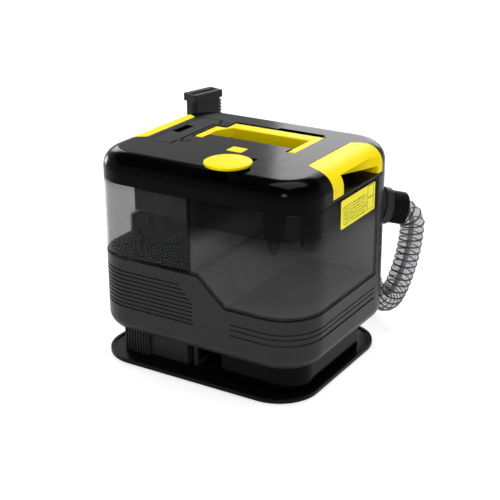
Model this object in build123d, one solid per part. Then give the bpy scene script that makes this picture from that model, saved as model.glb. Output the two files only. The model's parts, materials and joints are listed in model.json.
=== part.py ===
from build123d import *
import math
import os

# Carpet and upholstery cleaner: a box-shaped wet-suction machine.
#
# +Z is up, X runs left to right along the front, and the front faces -Y. The origin is the
# centre of the body's footprint on the surface that the machine stands on. Sizes are in mm.

os.makedirs("parts", exist_ok=True)

# ---- driving dimensions: the body ------------------------------------------------------
body_width = 370.0
body_depth = 302.0
corner_radius = 65.0
wall = 3.0
tank_wall = 2.5
seam_gap = 0.4               # air gap between neighbouring mouldings
groove = 3.0                 # shadow gap between the tanks and the lower casing
plate_width, plate_depth, plate_shift = 361.0, 296.0, -11.0
pad_thick = 1.5
plate_top = 7.0
rim_top = 9.0
casing_bottom = 48.0
casing_round = 22.0
left_deck = 171.0            # top of the lower casing under the clean tank
right_deck = 129.0           # top of the lower casing under the recovery tank
slope_high_x, slope_low_x = 9.0, 56.5
tank_split = -4.0            # X of the seam between the two tanks
rear_split = 80.0            # Y where the tanks end and the rear cover starts
lid_seam = 288.0
lid_top = 332.0
lid_edge = 28.0

# ---- driving dimensions: the lid's fittings --------------------------------------------
handle_left, handle_right = -88.0, 88.0
handle_pivot_y, handle_pivot_z = 1.0, 323.5
handle_arm = 15.0            # depth of an arm, and twice the radius of its rounded end
bar_front, bar_back, bar_low = 64.0, 88.0, 306.0
recess_front, recess_back, recess_floor = 12.0, 91.0, 301.0
flap_x0, flap_x1, flap_y0, flap_y1 = -134.0, -97.0, -58.0, 87.0
flap_thick = 4.0
flap_pivot_x, flap_pivot_z = -92.5, 328.5
latch_x, latch_y, latch_radius = 32.0, -98.0, 35.0
button_x, button_y, button_w, button_d = 8.0, -35.0, 26.0, 22.0
grip_right, grip_left = 134.0, 146.0      # how far out the side grips' inner edges are
hold_front, hold_back, hold_low, hold_high = -34.0, 76.0, 293.0, 321.0
hold_wall = 6.0
lip_low = 305.0
flap_gap = 1.1

# ---- driving dimensions: the hose and the hand tool ------------------------------------
hose_radius = 20.0
hose_wall = 2.2
water_tube_radius = 4.0
hose_start = Vector(171.5, 137.5, 222.1)
hose_heading = Vector(0.686, 0.686, -0.24)
first_run = 47.0
tool_x, tool_y = -185.0, 167.0
tool_base = 120.0
saddle_x, saddle_z, saddle_radius = 8.0, 193.0, 41.0
pin_clearance = 0.05


# ---- helpers ---------------------------------------------------------------------------
def slab(low, high, inset=0.0):
    """The machine's rounded footprint, pulled in by inset, from low to high."""
    outline = RectangleRounded(
        body_width - 2 * inset, body_depth - 2 * inset, corner_radius - inset
    )
    return extrude(Pos(0, 0, low) * outline, high - low)


def block(x0, x1, y0, y1, z0, z1):
    """A box between two corners."""
    centre = Pos((x0 + x1) / 2, (y0 + y1) / 2, (z0 + z1) / 2)
    return centre * Box(x1 - x0, y1 - y0, z1 - z0)


def post(radius, x, y, z0, z1):
    """An upright cylinder."""
    return Pos(x, y, (z0 + z1) / 2) * Cylinder(radius, z1 - z0)


def rod_x(radius, x0, x1, y, z):
    """A cylinder along X."""
    return Pos((x0 + x1) / 2, y, z) * Rot(0, 90, 0) * Cylinder(radius, x1 - x0)


def rod_y(radius, x, y0, y1, z):
    """A cylinder along Y."""
    return Pos(x, (y0 + y1) / 2, z) * Rot(90, 0, 0) * Cylinder(radius, y1 - y0)


def xz_prism(points, y0, y1):
    """A polygon drawn in X and Z, carried from y0 to y1."""
    face = make_face(Polyline([(x, y0, z) for x, z in points], close=True))
    return extrude(face, y1 - y0, dir=(0, 1, 0))


def at_z(shape, z):
    """Edges of a shape that lie at one height."""
    return shape.edges().filter_by_position(Axis.Z, z - 0.01, z + 0.01)


def below_step(drop, x0=-200.0, x1=200.0):
    """Everything under the stepped line on which the tanks stand, lowered by drop."""
    shift = drop * 0.45
    points = [
        (x0, 0.0),
        (x1, 0.0),
        (x1, right_deck - drop),
        (slope_low_x - shift, right_deck - drop),
        (slope_high_x - shift, left_deck - drop),
        (x0, left_deck - drop),
    ]
    return xz_prism(points, -200.0, 200.0)


def save(name, shape):
    """Write one sub-part."""
    export_step(shape, f"parts/{name}.step")


# ---- base ------------------------------------------------------------------------------
def plate_slab(low, high, inset=0.0):
    """The plate's rounded footprint, which sits a little forward."""
    outline = RectangleRounded(
        plate_width - 2 * inset, plate_depth - 2 * inset, corner_radius - inset
    )
    return extrude(Pos(0, plate_shift, low) * outline, high - low)


pad_inset, rim_width = 14.0, 5.0
grip_pad = plate_slab(0, pad_thick, pad_inset)
base_plate = plate_slab(pad_thick, rim_top) - plate_slab(plate_top, rim_top, rim_width)
base_plate = fillet(at_z(base_plate, pad_thick), 2.0)
save("grip_pad", grip_pad)
save("base_plate", base_plate)

# ---- chassis between the plate and the casing ------------------------------------------
sump_left, sump_back = 40.0, 60.0
inlet_left, inlet_right, inlet_front, inlet_back = -97.0, -30.0, -121.0, -62.0
chassis_floor, chassis_top = plate_top, casing_bottom
sump_inset, frame_inset = 17.0, 40.0

sump_area = block(sump_left, 200, -200, sump_back, 0, 60)
recovery_sump = slab(chassis_floor, chassis_top, sump_inset)
recovery_sump = fillet(at_z(recovery_sump, chassis_floor), 4.0) & sump_area
sump_hollow = slab(chassis_floor + wall, chassis_top, sump_inset + wall)
sump_hollow &= block(sump_left + wall, 200, -200, sump_back - wall, 0, 60)
recovery_sump -= sump_hollow
save("recovery_sump", recovery_sump)

inlet_block = block(inlet_left, inlet_right, inlet_front, inlet_back, chassis_floor, chassis_top)
inlet_block -= block(
    inlet_left + wall, inlet_right - wall, inlet_front + wall, inlet_back,
    chassis_floor, chassis_top - wall,
)
save("inlet_block", inlet_block)

chassis_frame = slab(chassis_floor, chassis_top, frame_inset) - slab(0, 60, frame_inset + wall)
chassis_frame -= sump_area
chassis_frame -= block(inlet_left - 0.2, sump_left, -200, -70, 0, 60)
recess_wall = block(inlet_right, sump_left, inlet_back, inlet_back + wall, chassis_floor, chassis_top)
recess_post = block(-20, -14, -118, -112, chassis_floor, chassis_top)
recess_foot = block(-20, -14, -112, inlet_back, chassis_floor, chassis_floor + 4)
spine = block(3, 6, inlet_back, body_depth / 2 - 41, chassis_floor, chassis_top)
chassis_frame += recess_wall + recess_post + recess_foot + spine
save("chassis_frame", chassis_frame)

fin_count, fin_pitch, fin_thick = 9, 5.2, 2.2
fin_left, fin_right = -142.0, -98.0
fin_front, fin_root, fin_back = -128.2, -122.2, -118.2
cooling_fins = block(fin_left, fin_right, fin_root, fin_back, chassis_floor, chassis_top)
for index in range(fin_count):
    left = fin_left + index * fin_pitch
    cooling_fins += block(left, left + fin_thick, fin_front, fin_root, chassis_floor, chassis_top)
save("cooling_fins", cooling_fins)

# ---- lower casing, with its step and grooves -------------------------------------------
grille_low, grille_high = 92.0, 157.5
grille_right, grille_slant = 5.5, 127.0       # where the right end stands upright and where it leans
grille_points = [
    (-200, grille_low), (grille_right, grille_low), (grille_right, grille_slant),
    (-25, grille_high), (-200, grille_high),
]
grille_area = xz_prism(grille_points, -200.0, 20.0)

casing_void = block(-200, 200, rear_split, 200, right_deck, 400)
casing_outer = slab(casing_bottom, left_deck)
casing_outer = fillet(at_z(casing_outer, casing_bottom), casing_round)
casing_inner = slab(casing_bottom + wall, left_deck + 1, wall)
casing_inner = fillet(at_z(casing_inner, casing_bottom + wall), casing_round - wall)
lower_casing = (casing_outer - casing_inner) & below_step(0)
lower_casing -= casing_void
grille_skin = grille_area & (slab(grille_low, grille_high) - slab(grille_low, grille_high, wall))
lower_casing -= grille_skin

line_grooves = [(107.5, 1.8), (99.8, 1.8), (90.0, 3.2)]    # lower edge and height of each
line_depth = 2.0
line_region = block(66, 200, -200, rear_split - 2, 60, 120)
for low, height in line_grooves:
    cutter = slab(low, low + height, -1) - slab(low, low + height, line_depth)
    lower_casing -= cutter & line_region

shaft_x, shaft_y = -95.0, -20.0
inlet_x, inlet_z, inlet_w, inlet_h = -60.0, 95.0, 34.0, 26.0
switch_x, switch_w, switch_h = 5.0, 21.0, 28.0
rear_face = body_depth / 2
for centre, width, height in [(inlet_x, inlet_w, inlet_h), (switch_x, switch_w, switch_h)]:
    lower_casing -= block(
        centre - width / 2, centre + width / 2, rear_face - 10, rear_face + 10,
        inlet_z - height / 2, inlet_z + height / 2,
    )
save("lower_casing", lower_casing)

slot_count, slot_pitch, slot_height, slot_depth = 9, 6.5, 2.4, 2.3
slot_right, foot_height = 0.5, 3.4
exhaust_grille = grille_skin
for index in range(slot_count):
    low = grille_low + (index + 1) * slot_pitch
    cutter = slab(low, low + slot_height, -1) - slab(low, low + slot_height, slot_depth)
    slot_end = slot_right - max(0.0, low - grille_slant)
    exhaust_grille -= cutter & block(-200, slot_end, -200, 15, 80, 170)
foot_top = grille_low + foot_height
foot_groove = slab(grille_low, foot_top, -1) - slab(grille_low, foot_top, slot_depth)
exhaust_grille -= foot_groove & block(-200, 2, -200, 15, 80, 170)
save("exhaust_grille", exhaust_grille)

deck_band = below_step(0) - below_step(wall)
tank_deck = deck_band & slab(100, left_deck, wall) & block(-200, 200, -200, rear_split, 0, 400)
valve_x, valve_y = -60.0, 58.0
socket_radius = 11.0
tank_deck -= post(socket_radius, valve_x, valve_y, 150, 200)
save("tank_deck", tank_deck)

water_socket = post(socket_radius, valve_x, valve_y, left_deck - 16, left_deck)    # open upwards
water_socket -= post(7.5, valve_x, valve_y, left_deck - 12, left_deck + 1)
water_socket -= post(3.0, valve_x, valve_y, left_deck - 20, left_deck)
save("water_socket", water_socket)

# ---- rear cover ------------------------------------------------------------------------
cover_low = right_deck + seam_gap
cover_high = lid_seam - seam_gap
cover_area = block(-200, 200, rear_split + seam_gap, 200, cover_low, cover_high)
rear_cover = slab(cover_low, cover_high) & cover_area
rear_cover -= slab(cover_low, cover_high - wall, wall) & cover_area

corner_x = body_width / 2 - corner_radius
corner_y = body_depth / 2 - corner_radius
vent_count, vent_pitch, vent_low, vent_turn, vent_lean = 8, 12.0, 156.0, 13.0, 35.0
for index in range(vent_count):
    place = Pos(corner_x, corner_y, vent_low + index * vent_pitch) * Rot(0, 0, vent_turn)
    rear_cover -= place * Pos(corner_radius, 0, 0) * Rot(vent_lean, 0, 0) * Box(12, 22, 2.4)

socket_plane = Plane(origin=hose_start, z_dir=hose_heading)


def along_hose(radius, start, end):
    """A cylinder on the hose connector's axis."""
    return extrude(socket_plane.offset(start) * Circle(radius), end - start)


spigot_radius, flange_radius = 23.9, 29.0
rear_cover -= along_hose(spigot_radius, -30, 10)

bulkhead = block(-200, 200, rear_split + seam_gap, rear_split + seam_gap + wall, cover_low, 400)
bulkhead &= slab(cover_low, cover_high - wall, wall)

# ---- hose connector --------------------------------------------------------------------
hose_socket = along_hose(flange_radius, -9, 1.5) + along_hose(spigot_radius, -26, 0)
hose_socket -= along_hose(hose_radius - hose_wall, -40, 10)
hose_socket -= along_hose(hose_radius + 0.3, 0, 10)
cover_skin = slab(100, 300) - slab(100, 300, wall)
hose_socket -= cover_skin - along_hose(spigot_radius, -40, 40)
save("hose_socket", hose_socket)

hose_cuff = along_hose(25.0, 1.5, 30) + along_hose(26.5, 24, 28)
hose_cuff -= along_hose(hose_radius + 0.3, 0, 40) + along_hose(hose_radius + 2.0, 20, 40)
save("hose_cuff", hose_cuff)

# ---- the hose and the water line inside it ---------------------------------------------
hose_route = [
    hose_start,
    hose_start + hose_heading * first_run,
    Vector(204, 167, 163),
    Vector(196, 163, 115),
    Vector(181, 162, 68),
    Vector(159, 178, 41),
    Vector(128, 201, 39),
    Vector(108, 217, 66),
    Vector(103, 216, 118),
    Vector(86, 212, 178),
    Vector(64, 205, 236),
    Vector(10, 203, 262),
    Vector(-48, 203, 238),
    Vector(-62, 204, 180),
    Vector(-68, 204, 122),
    Vector(-70, 203, 68),
    Vector(-102, 193, 35),
    Vector(-150, 180, 35),
    Vector(-185, 167, 67),
    Vector(tool_x, tool_y, tool_base),
]


def corner_radii(route):
    """The largest arc that each corner's two runs leave room for."""
    radii = []
    for before, here, after in zip(route, route[1:], route[2:]):
        arriving, leaving = here - before, after - here
        half_turn = math.radians(arriving.get_angle(leaving)) / 2
        radii.append(0.45 * min(arriving.length, leaving.length) / math.tan(half_turn))
    return radii


hose_radii = corner_radii(hose_route)
hose_path = FilletPolyline(*hose_route, radius=hose_radii)
mouth = Plane(origin=hose_route[0], z_dir=hose_route[1] - hose_route[0])


def tube_along(path, outer, inner):
    """A round tube, or a solid cord where inner is 0."""
    section = Circle(outer) - Circle(inner) if inner else Circle(outer)
    tube = sweep(mouth * section, path=path)
    expected = section.area * path.length
    print(f"tube volume {tube.volume:.0f} mm3, section times length {expected:.0f} mm3")
    return tube


print("hose length", round(hose_path.length), "mm; radii", [round(r) for r in hose_radii])
suction_hose = tube_along(hose_path, hose_radius, hose_radius - hose_wall)
water_tube = tube_along(hose_path, water_tube_radius, 0)
save("suction_hose", suction_hose)
save("water_tube", water_tube)

# ---- hose saddle on the rear cover -----------------------------------------------------
saddle_out = 232.0
hose_saddle = rod_y(saddle_radius, saddle_x, rear_face, saddle_out, saddle_z)
hose_saddle -= rod_y(saddle_radius - 4, saddle_x, rear_face + 4, saddle_out + 1, saddle_z)
hose_saddle -= block(-100, 100, rear_face - 1, saddle_out + 1, 0, saddle_z - 2)
saddle_lip = rod_y(saddle_radius + 9, saddle_x, saddle_out - 4, saddle_out, saddle_z)
saddle_lip -= rod_y(saddle_radius - 4, saddle_x, saddle_out - 5, saddle_out + 1, saddle_z)
saddle_lip -= block(-100, 100, rear_face - 1, saddle_out + 1, 0, saddle_z - 2)
hose_saddle += saddle_lip
save("hose_saddle", hose_saddle)

# ---- hand tool and its holder ----------------------------------------------------------
tool_angle, holder_angle = 75.0, 38.0
tool_place = Pos(tool_x, tool_y, 0) * Rot(0, 0, tool_angle)
holder_place = Pos(tool_x, tool_y, 0) * Rot(0, 0, holder_angle)
handle_radius, handle_bore = 18.0, 14.5
trigger_pivot_y, trigger_pivot_z = 16.0, 221.0
neck_low, neck_high, tool_top = 262.0, 300.0, 351.0
head_width, head_depth = 62.0, 24.0


def tool_section(width, depth, radius, z):
    """A rounded outline across the tool."""
    return Pos(0, 0, z) * RectangleRounded(width, depth, radius)


def tool_loft(trim):
    """The tool's neck, flattening from the round handle to the wide head."""
    low = tool_section(36 - 2 * trim, 36 - 2 * trim, 17.9 - trim, neck_low)
    high = tool_section(head_width - 2 * trim, head_depth - 2 * trim, 7.9 - trim, neck_high)
    return loft([low, high])


tool_cuff = post(22.5, 0, 0, tool_base, 150) - post(16.0, 0, 0, tool_base - 1, 151)
save("tool_cuff", tool_place * tool_cuff)

tool_handle = post(handle_radius, 0, 0, 150, neck_low) - post(handle_bore, 0, 0, 149, neck_low)
trigger_slot = block(-6.2, 6.2, 8, 30, 176, 226)
tool_handle -= trigger_slot + rod_x(2.0, -9, 9, trigger_pivot_y, trigger_pivot_z)
tool_neck = tool_loft(0) - tool_loft(wall)

head_section = tool_section(head_width, head_depth, 7.9, neck_high)
tool_nozzle = extrude(head_section, tool_top - neck_high)
tool_nozzle -= extrude(tool_section(head_width - 2 * wall, head_depth - 2 * wall, 4.9, neck_high), 40)
tool_nozzle -= block(-26, 26, -4, 4, neck_high + 30, tool_top + 1)
lip = extrude(tool_section(head_width, 31, 3, tool_top - 12), 12)
lip -= extrude(tool_section(head_width - 1, head_depth - 1, 7.4, tool_top - 13), 14)
tool_nozzle += lip
save("tool_nozzle", tool_place * tool_nozzle)

tooth_count, tooth_pitch = 5, 5.5
comb = block(31, 33, -7, 7, 306, 334)
for index in range(tooth_count):
    low = 307 + index * tooth_pitch
    comb += block(33, 36, -6, 6, low, low + 2.5)
save("nozzle_comb", tool_place * comb)

trigger = block(-5.6, 5.6, 13, 24, 184, 224) + block(-5.6, 5.6, 20, 27, 182, 196)
trigger -= rod_x(2.0 + pin_clearance, -7, 7, trigger_pivot_y, trigger_pivot_z)
save("spray_trigger", tool_place * trigger)
trigger_pin = rod_x(2.0, -8.0, 8.0, trigger_pivot_y, trigger_pivot_z)
trigger_ears = block(-8.6, -6.2, 12.5, 20, 216, 226) + block(6.2, 8.6, 12.5, 20, 216, 226)
trigger_ears -= rod_x(2.0, -9, 9, trigger_pivot_y, trigger_pivot_z)
trigger_ears -= post(handle_radius - 1, 0, 0, 150, 250)
save("trigger_pin", tool_place * trigger_pin)
save("tool_handle", tool_place * (tool_handle + trigger_ears + tool_neck))

holder_low, holder_high = 232.0, 254.0
ring = post(24, 0, 0, holder_low, holder_high) - post(handle_radius + 0.3, 0, 0, 200, 280)
ring -= block(-11, 11, 8, 40, 200, 280)
arm = block(-13, 13, -48, -20, holder_low, holder_high)
arm -= post(handle_radius + 0.3, 0, 0, 200, 280)
tool_holder = holder_place * (ring + arm)
tool_holder -= slab(100, 300)
save("tool_holder", tool_holder)

# ---- motor, fan and pump ---------------------------------------------------------------
casing_floor = casing_bottom + wall
can_radius, can_top = 46.0, 136.0
shaft_radius = 4.0
fan_radius, fan_top = 60.0, 165.0

motor_mount = post(can_radius + 6, shaft_x, shaft_y, casing_floor, 64)
motor_mount -= post(can_radius, shaft_x, shaft_y, 60, 65)
motor_mount -= post(can_radius - 10, shaft_x, shaft_y, 50, 65)
save("motor_mount", motor_mount)

motor_can = post(can_radius, shaft_x, shaft_y, 60, can_top)
motor_can -= post(can_radius - wall, shaft_x, shaft_y, 66, can_top - wall)
motor_can -= post(shaft_radius + pin_clearance, shaft_x, shaft_y, 55, 140)
save("motor_can", motor_can)

motor_rotor = post(shaft_radius, shaft_x, shaft_y, 58, 158) + post(36, shaft_x, shaft_y, 72, 126)
save("motor_rotor", motor_rotor)

fan_housing = post(fan_radius, shaft_x, shaft_y, can_top, fan_top)
fan_housing -= post(fan_radius - wall, shaft_x, shaft_y, can_top + wall, fan_top - wall)
fan_housing -= post(12, shaft_x, shaft_y, can_top - 1, can_top + 4)
fan_housing -= post(22, shaft_x, shaft_y, fan_top - 4, fan_top + 1)
fan_housing -= block(shaft_x - 20, shaft_x + 20, shaft_y + 40, shaft_y + 70, 142, 159)
save("fan_housing", fan_housing)

blade_count = 9
fan_impeller = post(52, shaft_x, shaft_y, 143, 145) + post(9, shaft_x, shaft_y, 143, 158)
for index in range(blade_count):
    blade = Pos(shaft_x, shaft_y, 150) * Rot(0, 0, index * 360 / blade_count)
    fan_impeller += blade * Pos(29, 6, 0) * Rot(0, 0, 20) * Box(42, 1.6, 12)
fan_impeller -= post(shaft_radius, shaft_x, shaft_y, 140, 160)
save("fan_impeller", fan_impeller)

pump_x, pump_z = 95.0, 82.0
water_pump = rod_y(21, pump_x, -62, 8, pump_z) + block(pump_x - 22, pump_x + 22, 8, 34, 60, 104)
water_pump += block(pump_x - 14, pump_x + 14, -50, 28, casing_floor, 66)
water_pump += rod_y(4, pump_x + 10, 34, 48, 92) + rod_y(4, pump_x - 10, 34, 48, 92)
save("water_pump", water_pump)

# ---- rear compartment ------------------------------------------------------------------
board_front = rear_split + seam_gap + wall + 8
circuit_board = block(-45, 45, board_front, board_front + 1.6, 145, 235)
for x, z, w, h, depth in [(-25, 165, 22, 22, 18), (18, 170, 30, 16, 12), (-22, 210, 14, 14, 20)]:
    circuit_board += block(
        x - w / 2, x + w / 2, board_front + 1.6, board_front + 1.6 + depth, z - h / 2, z + h / 2
    )
save("circuit_board", circuit_board)
for x in (-40, 40):
    for z in (150, 230):
        bulkhead += rod_y(3, x, rear_split + seam_gap + wall, board_front, z)
save("bulkhead", bulkhead)

suction_duct = block(62, 98, 90, 124, 132, cover_high - wall)
suction_duct -= block(64, 96, 92, 122, 134, cover_high)
suction_duct -= block(70, 90, 110, 130, 205, 240)
save("suction_duct", suction_duct)

inlet_body = block(
    inlet_x - inlet_w / 2, inlet_x + inlet_w / 2, 135, rear_face,
    inlet_z - inlet_h / 2, inlet_z + inlet_h / 2,
)
inlet_body += block(
    inlet_x - inlet_w / 2 - 3, inlet_x + inlet_w / 2 + 3, rear_face, rear_face + 2,
    inlet_z - inlet_h / 2 - 3, inlet_z + inlet_h / 2 + 3,
)
inlet_body -= block(inlet_x - 13, inlet_x + 13, 138, 160, inlet_z - 8, inlet_z + 8)
for x in (-5, 5):
    inlet_body += rod_y(1.5, inlet_x + x, 138, 149, inlet_z)
save("power_inlet", inlet_body)

switch_pivot_y = 147.0
switch_bezel = block(
    switch_x - switch_w / 2, switch_x + switch_w / 2, 137, rear_face,
    inlet_z - switch_h / 2, inlet_z + switch_h / 2,
)
switch_bezel += block(
    switch_x - switch_w / 2 - 2, switch_x + switch_w / 2 + 2, rear_face, rear_face + 1.5,
    inlet_z - switch_h / 2 - 2, inlet_z + switch_h / 2 + 2,
)
switch_bezel -= block(switch_x - 8.2, switch_x + 8.2, 138.2, 160, inlet_z - 12.8, inlet_z + 12.8)
switch_bezel -= rod_x(1.5 + pin_clearance, switch_x - 10, switch_x + 10, switch_pivot_y, inlet_z)
save("switch_bezel", switch_bezel)
power_rocker = block(switch_x - 7.6, switch_x + 7.6, 141, 154, inlet_z - 11, inlet_z + 11)
power_rocker += rod_x(1.5, switch_x - 9.8, switch_x + 9.8, switch_pivot_y, inlet_z)
save("power_rocker", power_rocker)

cover_screws = []
for x in (-110, 110):
    for z in (150, 265):
        screw = rod_y(4, x, rear_face, rear_face + 2, z) + rod_y(1.6, x, rear_face - 12, rear_face, z)
        cover_screws.append(screw)
        rear_cover -= rod_y(1.6, x, rear_face - 12, rear_face, z)
save("cover_screws", Compound(children=cover_screws))
save("rear_cover", rear_cover)

# ---- tanks -----------------------------------------------------------------------------
tank_rim = 284.0
tank_back = rear_split - 1.6
tank_round = 6.0
cover_top = lid_seam - seam_gap
seam_half = 0.5


def tank_region(x0, x1, low, inset=0.0):
    """The space of one tank, pulled in by its wall thickness."""
    return block(x0 + inset, x1 - inset, -200, tank_back - inset, low, 400)


clean_floor = left_deck + groove
clean_side = tank_split - seam_half
clean_tank = slab(clean_floor, tank_rim) & tank_region(-200, clean_side, 0)
clean_tank = fillet(at_z(clean_tank, clean_floor), tank_round)
clean_inner = slab(clean_floor + tank_wall, tank_rim + 1, tank_wall)
clean_tank -= clean_inner & tank_region(-200, clean_side, 0, tank_wall)
partition = block(-109, -107, -200, tank_back, clean_floor + 1, 246)
partition &= slab(clean_floor + 1, 246, 1)
partition -= block(-112, -104, -60, 0, 170, 200)
clean_tank += partition
neck_radius, neck_bore = 7.2, 5.0
clean_tank += post(neck_radius, valve_x, valve_y, clean_floor - 11, clean_floor + 1)
clean_tank -= post(neck_bore, valve_x, valve_y, 150, 180)
save("clean_tank", clean_tank)

recovery_side = tank_split + seam_half
recovery_tank = slab(right_deck, tank_rim) & tank_region(recovery_side, 200, 0)
recovery_tank -= below_step(-groove)
recovery_inner = slab(right_deck, tank_rim + 1, tank_wall)
recovery_inner &= tank_region(recovery_side, 200, 0, tank_wall)
recovery_inner -= below_step(-groove - tank_wall)
recovery_tank -= recovery_inner
save("recovery_tank", recovery_tank)

filler_x0, filler_x1, filler_y0, filler_y1 = -127.0, -105.0, -8.0, 42.0
clean_cover = slab(tank_rim, cover_top) & tank_region(-200, clean_side, 0)
clean_cover -= block(filler_x0, filler_x1, filler_y0, filler_y1, 280, 300)
save("clean_tank_cover", clean_cover)

duct_x, duct_y = 92.0, -70.0
float_x, float_y = 148.0, -62.0
recovery_cover = slab(tank_rim, cover_top) & tank_region(recovery_side, 200, 0)
recovery_cover -= post(13, duct_x, duct_y, 280, 300) + post(11, float_x, float_y, 280, 300)
skirt_low, skirt_inset = 246.0, 9.0      # a dark band that hangs inside the tank's rim
skirt = slab(skirt_low, tank_rim, skirt_inset)
skirt &= tank_region(recovery_side, 200, 0, skirt_inset)
skirt_hollow = slab(skirt_low, tank_rim, skirt_inset + wall)
skirt -= skirt_hollow & tank_region(recovery_side, 200, 0, skirt_inset + wall)
save("recovery_tank_cover", recovery_cover + skirt)

filter_cup = block(-104, -14, -140, -70, 250, tank_rim) - block(-102, -16, -138, -72, 249, 282)
save("filter_cup", filter_cup)

duct_outer = Pos(duct_x, duct_y, tank_rim - 45) * Cone(15, 20, 90)
duct_inner = Pos(duct_x, duct_y, tank_rim - 45) * Cone(13, 18, 90)
save("inlet_duct", duct_outer - duct_inner)

cage_low = 208.0
float_cage = post(16, float_x, float_y, cage_low, tank_rim)
float_cage -= post(13.5, float_x, float_y, cage_low + 3, tank_rim + 1)
float_cage -= post(8, float_x, float_y, cage_low - 1, cage_low + 4)
for angle in (0, 90):
    window = Pos(float_x, float_y, 243) * Rot(0, 0, angle) * Box(50, 9, 44)
    float_cage -= window
save("float_cage", float_cage)
save("float_ball", Pos(float_x, float_y, cage_low + 3.5 + 12) * Sphere(12))

valve_disc_low = clean_floor + tank_wall + 0.7
tank_valve = post(8.5, valve_x, valve_y, valve_disc_low, valve_disc_low + 2)
tank_valve += post(2.5, valve_x, valve_y, clean_floor - 10, valve_disc_low)
tank_valve += post(2.0, valve_x, valve_y, valve_disc_low + 2, valve_disc_low + 14)
save("tank_valve", tank_valve)


def coil(radius, wire, pitch, height, x, y, z):
    """A round-wire compression spring standing on z."""
    path = Pos(x, y, z) * Helix(pitch, height, radius)
    start = Plane(origin=path @ 0, z_dir=path % 0)
    return sweep(start * Circle(wire), path=path)


save("valve_spring", coil(5.0, 0.5, 2.2, 9.9, valve_x, valve_y, valve_disc_low + 2.6))
valve_cage = post(10.5, valve_x, valve_y, clean_floor + tank_wall, 194.5)
valve_cage -= post(9.2, valve_x, valve_y, 170, 192.5) + post(2.3, valve_x, valve_y, 170, 200)
valve_cage -= block(valve_x - 4, valve_x + 4, valve_y - 20, valve_y + 20, 180, 190)
save("valve_cage", valve_cage)

save("tank_link", block(-34, 26, -22, 18, cover_top, cover_top + 2.4))
save("label_plate", block(185, 185.4, -41.5, 67, 241.5, 284.5))

# ---- lid -------------------------------------------------------------------------------
lid_low = lid_seam + seam_gap
lid_outer = fillet(at_z(slab(lid_low, lid_top), lid_top), lid_edge)
lid_inner = fillet(at_z(slab(lid_low - 1, lid_top - wall, wall), lid_top - wall), lid_edge - wall)


def grip_area(side, inner):
    """The part of the lid's corner that a side grip takes; side is 1 or -1."""
    outline = [
        (side * inner, -47), (side * (inner + 16), -57), (side * (inner + 31), -64),
        (side * 190, -66), (side * 190, 92), (side * (inner + 14), 92), (side * inner, 84),
    ]
    face = make_face(Polyline(*outline, close=True))
    return extrude(Pos(0, 0, hold_low) * face, 50, dir=(0, 0, 1))


def hold_space(side, inner):
    """The hand-hold behind a side grip, with a lip that slants across its upper part."""
    x0, x1 = sorted((side * inner, side * 195))
    space = block(x0, x1, hold_front, hold_back, hold_low, hold_high)
    lip_outline = [
        (side * (inner + hold_wall), hold_front), (side * (inner + hold_wall), hold_back),
        (side * 185, hold_back),
    ]
    lip_face = make_face(Polyline(*lip_outline, close=True))
    return space - extrude(Pos(0, 0, lip_low) * lip_face, hold_high - lip_low, dir=(0, 0, 1))


lid_shell = lid_outer - lid_inner
lid_blocks = block(-96, 92, -11, 100, 298, lid_top)
lid_blocks += block(flap_x0 - 3, -92, flap_y0 - 3, flap_y1 + 3, 324, lid_top)
lid_blocks += block(-12, 86, -151, -56, 300, lid_top)
lid_blocks += block(button_x - 17, button_x + 17, -52, -18, 315, lid_top)
lid_shell += lid_blocks & lid_outer

for side, inner in ((1, grip_right), (-1, grip_left)):
    area = grip_area(side, inner) & lid_outer
    lid_shell -= area
    x0, x1 = sorted((side * inner, side * (inner + hold_wall)))
    liner = block(x0, x1, hold_front, hold_back, hold_low, hold_high)
    x0, x1 = sorted((side * inner, side * 190))
    liner += block(x0, x1, -66, 94, hold_low - 2.6, hold_low) & lid_outer
    lid_shell += liner
    grip = area - hold_space(side, inner)
    save("side_grip_right" if side > 0 else "side_grip_left", grip)

arm_left_in, arm_right_in = -74.0, 76.0
arm_gap = 1.5
pivot_front = handle_pivot_y - handle_arm / 2
recess = block(-71.5, handle_right + arm_gap, recess_front, recess_back, recess_floor, 340)
recess += block(5, 84, recess_back - 1, recess_back + 6, recess_floor + 10, 340)
recess += block(handle_left - arm_gap, -71.4, pivot_front - arm_gap, 60, recess_floor, 340)
recess += block(
    arm_right_in - arm_gap, handle_right + arm_gap, pivot_front - arm_gap, 13, recess_floor, 340
)
lid_shell -= recess

flap_seat = lid_top - flap_thick - 0.5
flap_well = block(flap_x0 - flap_gap, -94.2, flap_y0 - flap_gap, flap_y1 + flap_gap, flap_seat, 340)
lid_shell -= fillet(flap_well.edges().filter_by(Axis.Z).sort_by(Axis.X)[:2], 12)
knuckle_groove, knuckle_right = 1.2, -77.0
for y0, y1 in ((-41.0, -29.0), (63.0, 79.0)):
    outline_groove = block(-88.5, knuckle_right, y0, y1, 330.4, 340)
    outline_groove -= block(
        -90, knuckle_right - knuckle_groove, y0 + knuckle_groove, y1 - knuckle_groove, 300, 350
    )
    lid_shell -= outline_groove
tab_spans = [(-38.0, -32.0), (66.0, 76.0)]
for y0, y1 in tab_spans:
    lid_shell -= block(-97, -87.8, y0 - 1, y1 + 1, 322.5, 340)
chute = block(-129, -103, -10, 44, lid_low + 0.2, flap_seat - 3)
lid_shell += chute
lid_shell -= block(filler_x0, filler_x1, filler_y0, filler_y1, 280, 330)

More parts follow.
